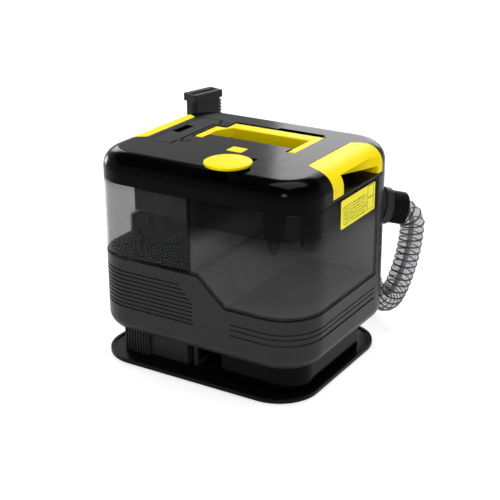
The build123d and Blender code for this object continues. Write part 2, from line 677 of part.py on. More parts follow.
latch_low, latch_high = 331.0, 335.0
latch_pivot_y, latch_pivot_z = -68.0, 328.5
lid_shell -= post(latch_radius + 0.6, latch_x, latch_y, latch_low - 0.4, 340)
lid_shell -= block(latch_x - 27, latch_x + 27, -73, -60, 323, 340)
scoop_x, scoop_y, scoop_low, scoop_high = 48.0, -120.0, 307.0, 333.0
scoop = Cone(22.5, 30, scoop_high - scoop_low)
lid_shell -= Pos(scoop_x, scoop_y, (scoop_low + scoop_high) / 2) * scoop
lid_shell -= block(
    button_x - button_w / 2 - 0.3, button_x + button_w / 2 + 0.3,
    button_y - button_d / 2 - 0.3, button_y + button_d / 2 + 0.3, 318, 340,
)

# ---- carry handle ----------------------------------------------------------------------
arm_low, arm_high = handle_pivot_z - handle_arm / 2, handle_pivot_z + handle_arm / 2
carry_handle = block(-69.5, handle_right, bar_front, bar_back, bar_low, arm_high)
carry_handle = fillet(carry_handle.edges().filter_by(Axis.X), 2)
carry_handle -= block(-60, 78, bar_front + 6, bar_back - 6, bar_low - 1, bar_low + 14)
for x0, x1, y1 in ((handle_left, arm_left_in, 56), (arm_right_in, handle_right, 70)):
    carry_handle += block(x0, x1, handle_pivot_y, y1, arm_low, arm_high)
    carry_handle += rod_x(handle_arm / 2, x0, x1, handle_pivot_y, handle_pivot_z)
link_points = [(-88, 40), (-74, 40), (-58, 66), (-69.5, 66), (-69.5, 58.5), (-88, 58.5)]
link_face = make_face(Polyline(*link_points, close=True))
carry_handle += extrude(Pos(0, 0, arm_low) * link_face, handle_arm, dir=(0, 0, 1))
carry_handle -= rod_x(2.5 + pin_clearance, -100, 100, handle_pivot_y, handle_pivot_z)
save("carry_handle", carry_handle)

handle_pins = []
for x0, x1 in ((-94, -68), (70, 91.5)):
    pin = rod_x(2.5, x0, x1, handle_pivot_y, handle_pivot_z)
    handle_pins.append(pin)
    lid_shell -= pin
save("handle_pins", Compound(children=handle_pins))

# ---- filler flap -----------------------------------------------------------------------
filler_flap = block(flap_x0, flap_x1, flap_y0, flap_y1, lid_top - flap_thick, lid_top)
filler_flap = fillet(filler_flap.edges().filter_by(Axis.Z).sort_by(Axis.X)[:2], 12)
filler_flap -= block(-131, -117, -3, 38, 320, 340)
flap_pins = []
for y0, y1 in tab_spans:
    filler_flap += block(-100, flap_pivot_x + 2.2, y0, y1, 325.4, lid_top)
    pin = rod_y(1.5, flap_pivot_x, y0 - 5, y1 + 5, flap_pivot_z)
    flap_pins.append(pin)
    lid_shell -= pin
filler_flap -= rod_y(1.5 + pin_clearance, flap_pivot_x, -60, 90, flap_pivot_z)
lid_shell -= block(-102, -96, -39, -31, 324.5, 340) + block(-102, -96, 65, 77, 324.5, 340)
save("filler_flap", filler_flap)
save("flap_pins", Compound(children=flap_pins))

# ---- latch cap and button --------------------------------------------------------------
latch_flap = post(latch_radius, latch_x, latch_y, latch_low, latch_high)
for x in (-10, 10):
    latch_flap += block(latch_x + x - 4, latch_x + x + 4, -71, -65, 325.5, latch_low)
latch_flap -= rod_x(2.0 + pin_clearance, 0, 60, latch_pivot_y, latch_pivot_z)
save("latch_flap", latch_flap)
latch_pin = rod_x(2.0, latch_x - 30, latch_x + 30, latch_pivot_y, latch_pivot_z)
lid_shell -= latch_pin
save("latch_pin", latch_pin)

lid_button = block(
    button_x - button_w / 2, button_x + button_w / 2,
    button_y - button_d / 2, button_y + button_d / 2, 325, lid_top + 0.6,
)
save("lid_button", lid_button)
save("button_spring", coil(5.0, 0.5, 2.0, 5.4, button_x, button_y, 318.8))
save("lid_shell", lid_shell)
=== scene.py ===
# %% [markdown]
# # A box-shaped carpet cleaner
# The machine stands on a black plate. Two smoke-tinted tanks sit on a stepped casing, a gloss
# black lid with yellow fittings covers them, and a ribbed clear hose hangs at the right rear
# corner. The engineering model is loaded first as a fixed frame, and every finished piece is
# built on it, in metres, where the frame says it is.

# %% Load the fixed frame
import json
import math
import bmesh
import bpy
from mathutils import Matrix, Vector


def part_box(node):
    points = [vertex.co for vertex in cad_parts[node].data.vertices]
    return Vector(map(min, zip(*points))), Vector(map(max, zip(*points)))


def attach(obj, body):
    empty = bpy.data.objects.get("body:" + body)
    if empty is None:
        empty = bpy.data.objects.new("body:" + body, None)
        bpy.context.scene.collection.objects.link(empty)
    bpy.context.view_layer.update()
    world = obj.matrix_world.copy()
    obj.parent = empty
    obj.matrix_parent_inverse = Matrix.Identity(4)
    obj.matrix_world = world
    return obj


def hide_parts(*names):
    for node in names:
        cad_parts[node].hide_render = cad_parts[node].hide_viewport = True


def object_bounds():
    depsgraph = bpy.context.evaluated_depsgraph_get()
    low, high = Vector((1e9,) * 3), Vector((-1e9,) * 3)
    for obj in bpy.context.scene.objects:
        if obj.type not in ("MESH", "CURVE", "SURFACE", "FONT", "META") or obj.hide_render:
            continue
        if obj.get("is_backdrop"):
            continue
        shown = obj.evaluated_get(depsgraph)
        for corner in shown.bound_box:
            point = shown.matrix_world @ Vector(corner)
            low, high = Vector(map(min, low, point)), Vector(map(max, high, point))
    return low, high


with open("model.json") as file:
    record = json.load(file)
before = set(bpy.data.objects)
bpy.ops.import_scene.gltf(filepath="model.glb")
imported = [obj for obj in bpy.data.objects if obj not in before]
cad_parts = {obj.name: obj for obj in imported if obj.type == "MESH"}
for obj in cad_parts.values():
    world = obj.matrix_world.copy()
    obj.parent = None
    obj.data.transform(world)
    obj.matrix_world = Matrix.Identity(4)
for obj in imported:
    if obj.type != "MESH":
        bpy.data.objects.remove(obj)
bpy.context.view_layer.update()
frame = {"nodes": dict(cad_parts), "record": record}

owner = {
    node: body
    for body, nodes in frame["record"]["behaviour"]["bodies"].items()
    for node in nodes
}
slot_of = {row["node"]: row["material_slot"] for row in frame["record"]["subparts"]}

# %% [markdown]
# ## Camera
# A long lens from the front right and a little above, so that the front, the right side and
# the top all show. Its place is worked out from two angles and a distance, which are easier to
# read and to change than a matrix.

# %% Camera
view_azimuth, view_elevation, view_roll = math.radians(31.5), math.radians(21.7), math.radians(-0.2)
camera_distance, aim_right, aim_up = 1.933, 0.0071, 0.1481

back = Vector((
    math.sin(view_azimuth) * math.cos(view_elevation),
    -math.cos(view_azimuth) * math.cos(view_elevation),
    math.sin(view_elevation),
))
right = Vector((math.cos(view_azimuth), math.sin(view_azimuth), 0.0))
up = back.cross(right)
camera = bpy.data.objects.new("camera", bpy.data.cameras.new("camera"))
bpy.context.scene.collection.objects.link(camera)
camera.data.sensor_width = 36.0
camera.data.lens = 87.06
place = Matrix((right, up, back)).transposed().to_4x4() @ Matrix.Rotation(view_roll, 4, "Z")
place.translation = back * camera_distance + right * aim_right + up * aim_up
camera.matrix_world = place
bpy.context.scene.camera = camera
print("camera at", [round(v, 3) for v in camera.location])

# %% [markdown]
# ## Floor and light
# Gloss black plastic shows nothing but reflections, so the light is mostly a plan of what it
# should mirror. The floor glows a little, which keeps it white out to the horizon. Two large
# softboxes stand behind the machine, low enough for the lid's flat top to mirror them. The
# upper sky is dark, so the lid's rounded edge turns deep black, and the small softboxes put
# highlights on its corners.

# %% Floor and light
floor_reach, floor_glow = 14.0, 0.62

world = bpy.data.worlds.new("studio")
bpy.context.scene.world = world
world.use_nodes = True
sky = world.node_tree
sky_coordinates = sky.nodes.new("ShaderNodeTexCoord")
sky_split = sky.nodes.new("ShaderNodeSeparateXYZ")
sky_ramp = sky.nodes.new("ShaderNodeValToRGB")
sky.links.new(sky_coordinates.outputs["Generated"], sky_split.inputs[0])
sky.links.new(sky_split.outputs["Z"], sky_ramp.inputs[0])
sky.links.new(sky_ramp.outputs[0], sky.nodes["Background"].inputs["Color"])
sky_ramp.color_ramp.elements[0].position = 0.30
sky_ramp.color_ramp.elements[0].color = (0.80, 0.81, 0.82, 1)
sky_ramp.color_ramp.elements[1].position = 0.62
sky_ramp.color_ramp.elements[1].color = (0.06, 0.06, 0.063, 1)
sky.nodes["Background"].inputs["Strength"].default_value = 1.0
bpy.context.scene.view_settings.view_transform = "Standard"

floor_mesh = bmesh.new()
bmesh.ops.create_grid(floor_mesh, x_segments=1, y_segments=1, size=floor_reach)
floor_data = bpy.data.meshes.new("floor")
floor_mesh.to_mesh(floor_data)
floor_mesh.free()
floor = bpy.data.objects.new("floor", floor_data)
bpy.context.scene.collection.objects.link(floor)
floor_finish = bpy.data.materials.new("floor paper")
floor_finish.use_nodes = True
floor_shader = floor_finish.node_tree.nodes["Principled BSDF"]
floor_shader.inputs["Base Color"].default_value = (0.6, 0.6, 0.6, 1)
floor_shader.inputs["Roughness"].default_value = 0.9
floor_shader.inputs["Emission Color"].default_value = (1, 1, 1, 1)
floor_shader.inputs["Emission Strength"].default_value = floor_glow
floor_data.materials.append(floor_finish)
floor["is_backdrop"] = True


def softbox(name, position, size, watts):
    """A square lamp that faces the middle of the machine."""
    lamp = bpy.data.lights.new(name, "AREA")
    lamp.size = size
    lamp.energy = watts
    holder = bpy.data.objects.new(name, lamp)
    bpy.context.scene.collection.objects.link(holder)
    holder.location = position
    aim = Vector((0, 0, 0.15)) - Vector(position)
    holder.rotation_euler = aim.to_track_quat("-Z", "Y").to_euler()
    print(name, "softbox", watts, "W")
    return holder


softbox("overhead", (0.1, 0.3, 2.4), 1.6, 46)
softbox("behind right", (-0.7, 2.9, 1.35), 1.7, 30)
softbox("behind left", (-2.7, 1.9, 1.6), 1.0, 20)
softbox("left", (-2.4, 0.50, 0.36), 0.6, 13)
softbox("front right", (1.0, -1.9, 1.7), 0.5, 18)

# %% [markdown]
# ## Finishes
# All the plastics share one recipe: a base colour that drifts a little over the part, a fine
# moulded grain as bump, and a gloss that varies as a real moulding's does. Patterns read
# Object coordinates, which stay fixed to the part when it moves. What is the same all over,
# such as the alpha of a tinted clear wall, is set straight on the shader's own sockets. A low
# index of refraction keeps the blacks deep, because it mirrors little when seen face on.

# %% One recipe for moulded plastic
def mix_colours(tree, factor, dark, light):
    """A Mix node between two colours, driven by a texture's output."""
    mix = tree.nodes.new("ShaderNodeMix")
    mix.data_type = "RGBA"
    mix.inputs["A"].default_value = (*dark, 1)
    mix.inputs["B"].default_value = (*light, 1)
    tree.links.new(factor, mix.inputs["Factor"])
    return mix.outputs["Result"]


def noise(tree, coordinates, scale, detail=3.0, stretch=(1, 1, 1)):
    """A Noise texture on stretched Object coordinates."""
    mapping = tree.nodes.new("ShaderNodeMapping")
    mapping.inputs["Scale"].default_value = stretch
    tree.links.new(coordinates, mapping.inputs["Vector"])
    texture = tree.nodes.new("ShaderNodeTexNoise")
    texture.inputs["Scale"].default_value = scale
    texture.inputs["Detail"].default_value = detail
    tree.links.new(mapping.outputs["Vector"], texture.inputs["Vector"])
    return texture.outputs["Fac"]


def ranged(tree, value, low, high):
    """A value remapped from the middle of a noise to a range."""
    node = tree.nodes.new("ShaderNodeMapRange")
    node.inputs["From Min"].default_value = 0.3
    node.inputs["From Max"].default_value = 0.7
    node.inputs["To Min"].default_value = low
    node.inputs["To Max"].default_value = high
    tree.links.new(value, node.inputs["Value"])
    return node.outputs["Result"]


def plastic(name, colour, rough, grain, depth, drift=0.15, ior=1.5, clear=1.0, metal=0.0,
            stretch=(1, 1, 1)):
    """A moulded finish; clear is how much of the surface stops the light."""
    finish = bpy.data.materials.new(name)
    finish.use_nodes = True
    tree = finish.node_tree
    shader = tree.nodes["Principled BSDF"]
    coordinates = tree.nodes.new("ShaderNodeTexCoord").outputs["Object"]
    wide = noise(tree, coordinates, 14.0, 2.0)
    dark = [c * (1 - drift) for c in colour]
    light = [min(1.0, c * (1 + drift)) for c in colour]
    tree.links.new(mix_colours(tree, wide, dark, light), shader.inputs["Base Color"])
    handled = noise(tree, coordinates, 45.0, 5.0, stretch)
    tree.links.new(ranged(tree, handled, *rough), shader.inputs["Roughness"])
    bump = tree.nodes.new("ShaderNodeBump")
    bump.inputs["Strength"].default_value = depth
    bump.inputs["Distance"].default_value = 0.0004
    tree.links.new(noise(tree, coordinates, grain, 2.0, stretch), bump.inputs["Height"])
    tree.links.new(bump.outputs["Normal"], shader.inputs["Normal"])
    shader.inputs["Metallic"].default_value = metal
    shader.inputs["IOR"].default_value = ior
    shader.inputs["Alpha"].default_value = clear
    return finish


# %% The machine's own finishes
lid_gloss, casing_gloss, tank_gloss, bare_metal = (0.10, 0.16), (0.24, 0.33), (0.06, 0.10), (0.18, 0.34)

finishes = {
    "gloss_black": plastic(
        "gloss black lid", (0.0009, 0.0008, 0.0009), lid_gloss, 500, 0.015, 0.2, 1.13
    ),
    "flap_black": plastic(
        "gloss black flap", (0.001, 0.0009, 0.001), (0.12, 0.18), 500, 0.015, 0.2, 1.14
    ),
    "charcoal": plastic(
        "satin black casing", (0.026, 0.0255, 0.0265), casing_gloss, 1400, 0.10, 0.12, 1.17
    ),
    "black_plastic": plastic("black plate", (0.003, 0.003, 0.0032), (0.30, 0.42), 1100, 0.14, 0.2, 1.16),
    "yellow": plastic("signal yellow", (0.82, 0.64, 0.0), (0.32, 0.44), 1300, 0.07, 0.03, 1.15),
    "smoke_clear": plastic(
        "clear smoke tank", (0.020, 0.020, 0.021), (0.05, 0.09), 260, 0.002, 0.08, 1.25, 0.36
    ),
    "smoke_dark": plastic(
        "dark smoke tank", (0.003, 0.0028, 0.003), tank_gloss, 260, 0.002, 0.08, 1.14, 0.36
    ),
    # Painted light: a light grey for the dirty tank's inner faces, standing in for light seen through
    # the tank.
    "painted_inner_light": plastic("frosted_painted_light inner face", (0.36, 0.36, 0.365), (0.45, 0.60), 300, 0.05, 0.25, 1.2),
    "hose_grey": plastic(
        "clear grey hose wall", (0.22, 0.22, 0.23), (0.10, 0.22), 350, 0.08, 0.12, 1.5, 0.30
    ),
    "hose_rib": plastic("hose helix", (0.016, 0.016, 0.018), (0.16, 0.28), 500, 0.05),
    "tube_black": plastic("water tube", (0.03, 0.03, 0.033), (0.3, 0.4), 600, 0.05),
    "tool_grey": plastic("hand tool grey", (0.022, 0.022, 0.023), (0.32, 0.44), 1200, 0.12, 0.15, 1.18),
    "label_yellow": plastic("label film", (0.84, 0.76, 0.01), (0.30, 0.40), 400, 0.02, 0.02, 1.2),
    "rubber": plastic("rubber", (0.018, 0.018, 0.019), (0.6, 0.8), 700, 0.3, 0.2),
    "white_plastic": plastic("natural nylon", (0.68, 0.67, 0.62), (0.35, 0.5), 800, 0.08, 0.05),
    "board_green": plastic("circuit board", (0.02, 0.13, 0.05), (0.3, 0.45), 220, 0.1, 0.3),
    "steel": plastic(
        "plated steel", (0.55, 0.56, 0.58), bare_metal, 300, 0.06, 0.06, metal=1.0, stretch=(1, 1, 12)
    ),
    "motor_steel": plastic(
        "zinc plate", (0.36, 0.37, 0.38), (0.25, 0.42), 500, 0.08, 0.12, metal=1.0, stretch=(1, 1, 6)
    ),
}
print("finishes:", len(finishes))

# %% [markdown]
# ## Painted light in the dirty tank
# The tank's wall is painted a lighter grey low down, a painted reflection of the floor, and it is
# nearly black above that. Its frosted inner faces are painted light grey low down, painted light
# seen through the tank. Both of the tank's finishes blend from one colour to the other by their
# height on the part.

# %% Painted light lower down, blended by height
def film(finish, top_of_blend, foot_of_blend, colour_above=None, painted_light_below=None):
    """Blend a finish to another colour by Object Z, to paint light lower down; what isn't given is the
    finish's own.
    """
    tree = finish.node_tree
    base = tree.nodes["Principled BSDF"].inputs["Base Color"]
    own_colour = base.links[0].from_socket
    height = tree.nodes.new("ShaderNodeSeparateXYZ")
    tree.links.new(tree.nodes["Texture Coordinate"].outputs["Object"], height.inputs[0])
    level = tree.nodes.new("ShaderNodeMapRange")
    level.interpolation_type = "SMOOTHSTEP"
    level.inputs["From Min"].default_value = top_of_blend
    level.inputs["From Max"].default_value = foot_of_blend
    tree.links.new(height.outputs["Z"], level.inputs["Value"])
    mix = tree.nodes.new("ShaderNodeMix")
    mix.data_type = "RGBA"
    tree.links.new(level.outputs["Result"], mix.inputs["Factor"])
    for socket, colour in (("A", colour_above), ("B", painted_light_below)):
        if colour:
            mix.inputs[socket].default_value = (*colour, 1)
        else:
            tree.links.new(own_colour, mix.inputs[socket])
    tree.links.new(mix.outputs["Result"], base)
    print("film on", finish.name, "from", top_of_blend, "down to", foot_of_blend)


# Painted reflection of the floor: the tank wall turns lighter grey below 0.218 m and stays nearly black
# above 0.252 m.
film(finishes["smoke_dark"], 0.252, 0.218, painted_light_below=(0.052, 0.051, 0.053))
# Painted light: the tank's inner faces stay near black above 0.240 m and turn light grey below 0.205 m.
film(finishes["painted_inner_light"], 0.240, 0.205, colour_above=(0.02, 0.02, 0.02))

# %% [markdown]
# ## Finishing a moulding
# The engineering model already has the right shape, but its edges are knife sharp, and real
# mouldings have small radii that catch the light. Each part is copied, its loose triangles are
# merged back into flat faces, and every sharp edge gets a small bevel. Weighted normals then
# keep the flat faces flat in reflections.

# %% Helpers for pieces
def piece(name, mesh_edit, body, slot, replaces=(), sharp=32.0, finish=None):
    """Turn a bmesh into a named object that rides on a body."""
    bmesh.ops.remove_doubles(mesh_edit, verts=mesh_edit.verts[:], dist=1e-6)
    data = bpy.data.meshes.new(name)
    mesh_edit.to_mesh(data)
    mesh_edit.free()
    made = bpy.data.objects.new(name, data)
    bpy.context.scene.collection.objects.link(made)
    data.shade_smooth()
    data.set_sharp_from_angle(angle=math.radians(sharp))
    data.materials.append(finish or finishes[slot])
    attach(made, body)
    if replaces:
        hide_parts(*replaces)
    print(name, len(data.polygons), "faces")
    return made


def merged_copy(node):
    """A CAD node as a bmesh of flat faces and joined corners."""
    copy = bmesh.new()
    copy.from_mesh(frame["nodes"][node].data)
    bmesh.ops.remove_doubles(copy, verts=copy.verts[:], dist=2e-6)
    bmesh.ops.dissolve_limit(
        copy, angle_limit=math.radians(0.05), verts=copy.verts[:], edges=copy.edges[:]
    )
    return copy


def soften(copy, width, angle=40.0):
    """Bevel every edge sharper than an angle."""
    sharp_edges = [
        edge for edge in copy.edges
        if len(edge.link_faces) == 2 and edge.calc_face_angle(0.0) > math.radians(angle)
    ]
    bmesh.ops.bevel(
        copy, geom=sharp_edges, offset=width, offset_type="OFFSET", segments=2, profile=0.5,
        affect="EDGES", clamp_overlap=False, material=-1,
    )
    return copy


def finished(node, width):
    """A softened copy of a CAD node that takes its place."""
    copy = soften(merged_copy(node), width)
    made = piece(node + "_moulding", copy, owner[node], slot_of[node], (node,))
    weighted = made.modifiers.new("flat faces stay flat", "WEIGHTED_NORMAL")
    weighted.keep_sharp = True
    return made


# %% Mouldings that keep their engineering shape
soft_edges = {
    "base_plate": 0.0006, "recovery_sump": 0.0008, "inlet_block": 0.0005, "chassis_frame": 0.0004,
    "cooling_fins": 0.0003, "lower_casing": 0.0003, "exhaust_grille": 0.0003, "rear_cover": 0.0004,
    "tank_deck": 0.0004, "lid_shell": 0.0003, "side_grip_right": 0.0008, "side_grip_left": 0.0008,
    "carry_handle": 0.0006, "filler_flap": 0.0003, "clean_tank": 0.0004, "recovery_tank": 0.0004,
    "clean_tank_cover": 0.0004, "recovery_tank_cover": 0.0004, "tool_handle": 0.0004,
    "tool_nozzle": 0.0005, "nozzle_comb": 0.0003, "tool_holder": 0.0005, "hose_saddle": 0.0006,
    "hose_socket": 0.0003, "power_inlet": 0.0003, "switch_bezel": 0.0003, "power_rocker": 0.0005,
    "spray_trigger": 0.0006, "filter_cup": 0.0005, "latch_flap": 0.0009, "lid_button": 0.0014,
    "grip_pad": 0.0003, "tank_link": 0.0005, "water_pump": 0.0006, "suction_duct": 0.0004,
}
mouldings = {node: finished(node, width) for node, width in soft_edges.items()}

# %% [markdown]
# ## Tank faces and the parts left as they are
# The dirty tank's far inner faces and its floor are frosted and painted light grey, painted light
# seen through the tank, so that the ducts show dark before them. The small parts inside keep their
# engineering shape and only get a finish.

# %% Frosted faces with painted light, and the other nodes' finishes
# Painted light: the far inner faces and the floor of the dirty tank get the light grey finish.
dirty_tank = mouldings["recovery_tank"].data
dirty_tank.materials.append(finishes["painted_inner_light"])
for face in dirty_tank.polygons:
    behind = face.normal.y < -0.9 and face.center.y > 0.06
    beside = face.normal.x > 0.9 and face.center.x < 0.01
    below = face.normal.z > 0.6 and face.center.z < 0.20
    face.material_index = int(behind or beside or below)
print("frosted_painted_light faces:", sum(face.material_index for face in dirty_tank.polygons))
mouldings["filter_cup"].data.materials[0] = finishes["charcoal"]

for node, part in frame["nodes"].items():
    part.data.materials.clear()
    part.data.materials.append(finishes[slot_of[node]])

# %% [markdown]
# ## The hose's line
# The hose is one fixed length of ribbed tube: out of its cuff, down and round just above the
# floor, up behind the machine over a saddle, and down into the hand tool. A NURBS spline with a
# short list of control points gives its line, as smooth as a real hose. Everything on the hose
# then follows points read from that spline.

# %% The hose's route and its frames
hose_start = Vector((0.1715, 0.1375, 0.2221))
hose_heading = Vector((0.686, 0.686, -0.24))
hose_route = [
    hose_start, hose_start + hose_heading * 0.047,
    Vector((0.204, 0.167, 0.163)), Vector((0.196, 0.163, 0.115)), Vector((0.181, 0.162, 0.068)),
    Vector((0.159, 0.178, 0.041)), Vector((0.128, 0.201, 0.039)), Vector((0.108, 0.217, 0.066)),
    Vector((0.103, 0.216, 0.118)), Vector((0.086, 0.212, 0.178)), Vector((0.064, 0.205, 0.236)),
    Vector((0.010, 0.203, 0.262)), Vector((-0.048, 0.203, 0.238)), Vector((-0.062, 0.204, 0.180)),
    Vector((-0.068, 0.204, 0.122)), Vector((-0.070, 0.203, 0.068)), Vector((-0.102, 0.193, 0.035)),
    Vector((-0.150, 0.180, 0.035)), Vector((-0.185, 0.167, 0.067)), Vector((-0.185, 0.167, 0.120)),
]


def curve_mesh(kind, controls, radius=0.0, roundness=1, steps=12):
    """The mesh of one open curve: a wire, or a round tube where it has a radius."""
    data = bpy.data.curves.new("line", "CURVE")
    data.dimensions = "3D"
    data.bevel_depth = radius
    data.bevel_resolution = roundness
    data.use_fill_caps = radius > 0
    line = data.splines.new(kind)
    line.points.add(len(controls) - 1)
    for point, control in zip(line.points, controls):
        point.co = (*control, 1)
    line.order_u = 3
    line.use_endpoint_u = True
    line.resolution_u = steps
    holder = bpy.data.objects.new("line", data)
    mesh = bpy.data.meshes.new_from_object(holder)
    bpy.data.objects.remove(holder)
    return mesh


def evenly(points, step):
    """The same line with its points about one step apart."""
    total = sum((b - a).length for a, b in zip(points, points[1:]))
    count = max(2, round(total / step))
    even, walked, wanted = [points[0]], 0.0, 1
    for a, b in zip(points, points[1:]):
        span = (b - a).length
        while wanted < count and walked + span >= wanted * total / count:
            even.append(a.lerp(b, (wanted * total / count - walked) / span))
            wanted += 1
        walked += span
    return even + [points[-1]], total


def frames_along(points):
    """A frame at each point: Z runs ahead, and X turns as little as it can."""
    frames, side = [], Vector((0, 0, 1)).cross(hose_heading).normalized()
    for index, point in enumerate(points):
        ahead = points[min(index + 1, len(points) - 1)] - points[max(index - 1, 0)]
        ahead.normalize()
        side = (side - ahead * side.dot(ahead)).normalized()
        made = Matrix((side, ahead.cross(side), ahead)).transposed().to_4x4()
        made.translation = point
        frames.append(made)
    return frames


def sweep_rings(frames, sides, radius_at, centre=(0, 0)):
    """A tube drawn ring by ring: each ring is extruded from the last and laid in its frame."""
    tube = bmesh.new()
    bmesh.ops.create_circle(tube, cap_ends=False, radius=1.0, segments=sides)
    ring = list(tube.verts)
    edges = list(tube.edges)
    angles = [math.atan2(vertex.co.y, vertex.co.x) for vertex in ring]
    for index, place_here in enumerate(frames):
        if index:
            grown = bmesh.ops.extrude_edge_only(tube, edges=edges)["geom"]
            old_ring = ring
            new_verts = {item for item in grown if isinstance(item, bmesh.types.BMVert)}
            edges = [item for item in grown if isinstance(item, bmesh.types.BMEdge)
                     and item.verts[0] in new_verts and item.verts[1] in new_verts]
            ring = [next(edge.other_vert(old) for edge in old.link_edges
                         if edge.other_vert(old) in new_verts) for old in old_ring]
        for vertex, angle in zip(ring, angles):
            reach = radius_at(index, angle)
            spot = (centre[0] + reach * math.cos(angle), centre[1] + reach * math.sin(angle), 0)
            vertex.co = place_here @ Vector(spot)
    return tube


hose_step, line_step = 0.00138, 0.004
hose_spline = curve_mesh("NURBS", hose_route, steps=40)
hose_points, hose_length = evenly([vertex.co.copy() for vertex in hose_spline.vertices], hose_step)
hose_frames = frames_along(hose_points)
print("hose line", round(hose_length, 3), "m in", len(hose_points), "points")

# %% [markdown]
# ## The hose
# A real extraction hose is a thin clear wall wound with a stiff dark helix. The wall is made as
# a tube whose radius swells between the turns, the helix as a wire that follows the same
# phase, and the spray line lies inside against the outer side, where it shows through.

# %% The ribbed wall, its helix and the water line inside
rib_pitch, wall_low, wall_swell, wall_thick = 0.0110, 0.0180, 0.0011, 0.0009
helix_radius, helix_wire, helix_sides = 0.0188, 0.0012, 22
line_radius, line_offset = 0.0043, (0.0105, 0.003)
step_length = hose_length / (len(hose_points) - 1)


def wall_radius(index, angle):
    """The wall dips at each turn of the helix and swells between."""
    phase = index * step_length / rib_pitch - angle / (2 * math.pi)
    return wall_low + wall_swell * abs(math.sin(math.pi * phase)) ** 0.7


hose_wall = piece(
    "suction_hose_wall", sweep_rings(hose_frames, 32, wall_radius), "machine", "hose_grey",
    ("suction_hose",), sharp=80,
)
thicken = hose_wall.modifiers.new("wall thickness", "SOLIDIFY")
thicken.thickness = wall_thick
thicken.offset = -1.0

turn_count = hose_length / rib_pitch
helix_steps = int(turn_count * helix_sides)
helix_points = []
for number in range(helix_steps + 1):
    along = number / helix_steps
    spot = along * (len(hose_frames) - 1)
    near = min(int(spot), len(hose_frames) - 2)
    turn = 2 * math.pi * along * turn_count
    outward = Vector((math.cos(turn), math.sin(turn), 0)) * helix_radius
    here = (hose_frames[near] @ outward).lerp(hose_frames[near + 1] @ outward, spot - near)
    helix_points.append(here)
helix = bmesh.new()
helix.from_mesh(curve_mesh("POLY", helix_points, helix_wire))
hose_ribs = piece(
    "suction_hose_ribs", helix, "machine", "hose_grey", sharp=80, finish=finishes["hose_rib"]
)

line_frames = frames_along(evenly(hose_points, line_step)[0])
line_tube = sweep_rings(line_frames, 14, lambda index, angle: line_radius, line_offset)
open_ends = [edge for edge in line_tube.edges if edge.is_boundary]
bmesh.ops.holes_fill(line_tube, edges=open_ends, sides=0)
water_line = piece("water_line", line_tube, "machine", "tube_black", ("water_tube",), sharp=80)

# %% [markdown]
# ## The cuffs
# Each cuff is turned rubber: a collar against the machine or the tool and a row of soft ribs.
# Its outline is drawn once, as radius and height, and spun about the hose's axis.

# %% Spun pieces
def spun(profile, steps=64, closed=True):
    """An outline of (radius, height) spun round Z; an open one starts and ends on the axis."""
    ring = bmesh.new()
    corners = [ring.verts.new((radius, 0, height)) for radius, height in profile]
    loop = [ring.edges.new((a, b)) for a, b in zip(corners, corners[1:])]
    if closed:
        loop.append(ring.edges.new((corners[-1], corners[0])))
    bmesh.ops.spin(
        ring, geom=corners + loop, cent=(0, 0, 0), axis=(0, 0, 1), angle=2 * math.pi, steps=steps,
        use_merge=True,
    )
    bmesh.ops.remove_doubles(ring, verts=ring.verts[:], dist=1e-6)
    bmesh.ops.recalc_face_normals(ring, faces=ring.faces[:])
    return ring


def on_axis(start, heading):
    """A frame whose Z runs along a heading."""
    made = heading.to_track_quat("Z", "Y").to_matrix().to_4x4()
    made.translation = start
    return made


# %% The cuff at the machine
cuff_low, cuff_high, cuff_bore, cuff_mouth = 0.0016, 0.0298, 0.0204, 0.0222
ribs_low, ribs_high, cuff_ribs = 0.0068, 0.0285, 5
rib_length = (ribs_high - ribs_low) / cuff_ribs
cuff_outline = [(cuff_bore, cuff_low), (0.0262, cuff_low), (0.0266, 0.0030), (0.0264, 0.0058)]
for rib in range(cuff_ribs):
    low = ribs_low + rib * rib_length
    cuff_outline += [
        (0.0238, low), (0.0239, low + 0.0012), (0.0254, low + 0.0022), (0.0257, low + 0.0032),
        (0.0252, low + 0.0041),
    ]
cuff_outline += [(0.0246, cuff_high), (cuff_mouth, cuff_high), (0.0210, 0.0262), (cuff_bore, 0.020)]
cuff_shape = spun(cuff_outline)
cuff_axis = on_axis(hose_start, hose_heading.normalized())
bmesh.ops.transform(cuff_shape, matrix=cuff_axis, verts=cuff_shape.verts[:])
hose_cuff = piece("hose_cuff_turned", cuff_shape, "machine", "black_plastic", ("hose_cuff",), sharp=50)

# %% The cuff at the hand tool
tail_low, tail_high, tail_bore = 0.1202, 0.1498, 0.0163
tail_ribs_low, tail_rib_length, tail_ribs = 0.1235, 0.0062, 4
tail_outline = [(tail_bore, tail_low), (0.0205, tail_low), (0.0222, 0.1215)]
for rib in range(tail_ribs):
    low = tail_ribs_low + rib * tail_rib_length
    tail_outline += [
        (0.0212, low), (0.0212, low + 0.0016), (0.0224, low + 0.0028), (0.0224, low + 0.0048),
    ]
tail_outline += [(0.0210, 0.1496), (tail_bore, tail_high)]
tail_shape = spun(tail_outline)
tool_low, tool_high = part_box("tool_cuff")
tool_middle = (tool_low + tool_high) / 2
bmesh.ops.translate(tail_shape, vec=(tool_middle.x, tool_middle.y, 0), verts=tail_shape.verts[:])
tail_cuff = piece("tool_cuff_turned", tail_shape, "machine", "black_plastic", ("tool_cuff",), sharp=50)

# %% [markdown]
# ## Inside the tanks
# Two turned ducts hang from the dirty tank's cover, one for the suction line and one for the
# float. They show through the smoky wall as dark bullets. A panelled divider stands in the
# clean tank, and it is what darkens most of that tank's front.

# %% Ducts and divider
def bullet(name, node, x, y, outer, bore):
    """A turned duct with a rounded lower end, hollow from its top."""
    tube = spun(outer + bore[::-1], 48)
    bmesh.ops.translate(tube, vec=(x, y, 0), verts=tube.verts[:])
    return piece(name, tube, "tank_unit", "charcoal", (node,), sharp=40)


